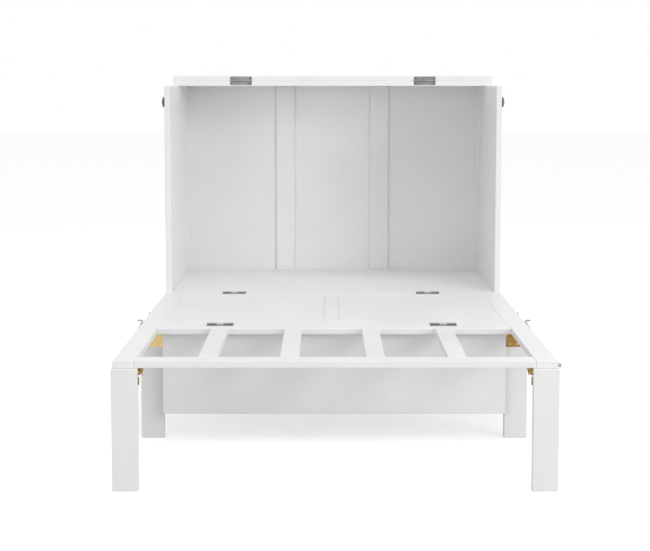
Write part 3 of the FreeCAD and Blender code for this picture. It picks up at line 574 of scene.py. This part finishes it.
# %% Loose panels
def loosened(name, body, gap, axes):
    """A copy of a board that is drawn in by the gap along the named axes."""
    low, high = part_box(name)
    centre = (low + high) / 2
    size = high - low
    factors = [(size[at] - 2 * gap) / size[at] if "xyz"[at] in axes else 1 for at in range(3)]
    shape = bmesh.new()
    shape.from_mesh(nodes[name].data)
    bmesh.ops.remove_doubles(shape, verts=shape.verts, dist=1e-6)
    bmesh.ops.scale(shape, verts=shape.verts, vec=factors, space=Matrix.Translation(-centre))
    panel = keep_piece(name + "_loose", shape, body, white_paint)
    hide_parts(name)
    return panel


SEAM = 0.00035
RAIL_SEAM = 0.0003
for side in ("left", "right"):
    loosened("panel_infill_" + side, "front_panel", SEAM, "xy")
    loosened(side + "_side_infill", "cabinet", SEAM, "yz")
loosened("foot_rail", "slat_frame", RAIL_SEAM, "x")
print("panels loosened")

# %% [markdown]
# ## Turned knobs
#
# The solid of the knob has the right steps, and a lathe would leave it smooth. So the real
# profile, with a waisted neck and a soft crown, is drawn as a few points and spun about X.


# %% Turned knobs
def turned_knob(side, sign):
    low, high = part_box(side + "_knob")
    root = low.x if sign > 0 else high.x
    reach = high.x - low.x
    radius = (high.z - low.z) / 2
    centre = Vector((root, (low.y + high.y) / 2, (low.z + high.z) / 2))
    shares = [(0.0, 0.32), (0.12, 0.28), (0.25, 0.28), (0.32, 0.34), (0.34, 0.86),
              (0.38, 0.96), (0.46, 1.0), (0.56, 0.985), (0.68, 0.92), (0.79, 0.80),
              (0.88, 0.65), (0.95, 0.45), (0.99, 0.22), (1.0, 0.0)]
    shape = bmesh.new()
    line = [shape.verts.new((along * reach * sign, 0, out * radius)) for along, out in shares]
    line.insert(0, shape.verts.new((0, 0, 0)))
    edges = [shape.edges.new(pair) for pair in zip(line, line[1:])]
    bmesh.ops.spin(shape, geom=[*line, *edges], cent=(0, 0, 0), axis=(1, 0, 0),
                   angle=math.tau, steps=64, use_merge=True)
    bmesh.ops.remove_doubles(shape, verts=shape.verts, dist=1e-6)
    bmesh.ops.recalc_face_normals(shape, faces=shape.faces)
    bmesh.ops.translate(shape, verts=shape.verts, vec=centre)
    knob = keep_piece(side + "_knob_turned", shape, "cabinet", dark_bronze, True)
    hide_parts(side + "_knob")
    return knob


for side, sign in (("left", -1), ("right", 1)):
    knob = turned_knob(side, sign)
    print(knob.name, len(knob.data.polygons), "faces")

# %% [markdown]
# ## Floor and light
#
# The picture has a plain white ground. The floor is pale, and for camera rays it also glows a
# little, so that open floor reads white while the soft shadow under the bed stays. A key lamp
# stands in front on the right, a weaker one on the left, and a broad one hangs over the bed.
# The world fills the rest.


# %% Floor
def show_white(tree, surface, strength):
    """Adds light to a surface for rays that the camera, a mirror or glass sends."""
    path = tree.nodes.new("ShaderNodeLightPath")
    seen = tree.nodes.new("ShaderNodeMath")
    seen.operation = "MAXIMUM"
    also = tree.nodes.new("ShaderNodeMath")
    also.operation = "MAXIMUM"
    tree.links.new(path.outputs["Is Camera Ray"], seen.inputs[0])
    tree.links.new(path.outputs["Is Glossy Ray"], seen.inputs[1])
    tree.links.new(seen.outputs[0], also.inputs[0])
    tree.links.new(path.outputs["Is Transmission Ray"], also.inputs[1])
    glow = tree.nodes.new("ShaderNodeEmission")
    glow.inputs["Strength"].default_value = strength
    none = tree.nodes.new("ShaderNodeEmission")
    none.inputs["Strength"].default_value = 0.0
    choice = tree.nodes.new("ShaderNodeMixShader")
    tree.links.new(also.outputs[0], choice.inputs["Fac"])
    tree.links.new(none.outputs[0], choice.inputs[1])
    tree.links.new(glow.outputs[0], choice.inputs[2])
    total = tree.nodes.new("ShaderNodeAddShader")
    tree.links.new(surface, total.inputs[0])
    tree.links.new(choice.outputs[0], total.inputs[1])
    return total.outputs[0]


FLOOR_SIZE = 30.0
ground = bmesh.new()
bmesh.ops.create_grid(ground, x_segments=1, y_segments=1, size=FLOOR_SIZE)
floor_mesh = bpy.data.meshes.new("floor")
ground.to_mesh(floor_mesh)
ground.free()
floor = bpy.data.objects.new("floor", floor_mesh)
scene.collection.objects.link(floor)
floor_finish, floor_tree, floor_shader = new_finish("floor_finish", (0.5, 0.5, 0.5), 0.9)
floor_shader.inputs["Specular IOR Level"].default_value = 0.0
floor_end = floor_tree.nodes["Material Output"]
lit = show_white(floor_tree, floor_shader.outputs["BSDF"], 0.64)
floor_tree.links.new(lit, floor_end.inputs["Surface"])
dress(floor, floor_finish)
print("floor", 2 * FLOOR_SIZE, "m wide")

# %% Light
FILL = 0.67
world = bpy.data.worlds.new("world")
world.use_nodes = True
scene.world = world
world_tree = world.node_tree
background = world_tree.nodes["Background"]
background.inputs["Color"].default_value = (1, 1, 1, 1)
background.inputs["Strength"].default_value = FILL
world_end = world_tree.nodes["World Output"]
white = show_white(world_tree, background.outputs["Background"], 1.0 - FILL)
world_tree.links.new(white, world_end.inputs["Surface"])


def soft_lamp(name, place, aim, size, power):
    lamp_data = bpy.data.lights.new(name, "AREA")
    lamp_data.shape = "SQUARE"
    lamp_data.size = size
    lamp_data.energy = power
    lamp = bpy.data.objects.new(name, lamp_data)
    lamp.location = place
    way = Vector(aim) - Vector(place)
    lamp.rotation_euler = way.to_track_quat("-Z", "Y").to_euler()
    scene.collection.objects.link(lamp)
    return lamp


soft_lamp("key_lamp", (4.8, -4.4, 2.4), (0, 0, 0.5), 3.0, 152)
soft_lamp("fill_lamp", (-3.0, -6.0, 0.9), (0, 0, 0.5), 2.0, 46)
soft_lamp("top_lamp", (0.3, -1.3, 5.2), (0.1, -0.8, 0.3), 4.0, 68)
lamps = [thing for thing in scene.objects if thing.type == "LIGHT"]
print("lamps:", [(lamp.name, lamp.data.energy) for lamp in lamps])

# %% [markdown]
# ## Colour
#
# Colours are shown as written, with the Standard view.

# %% Finish
scene.view_settings.view_transform = "Standard"
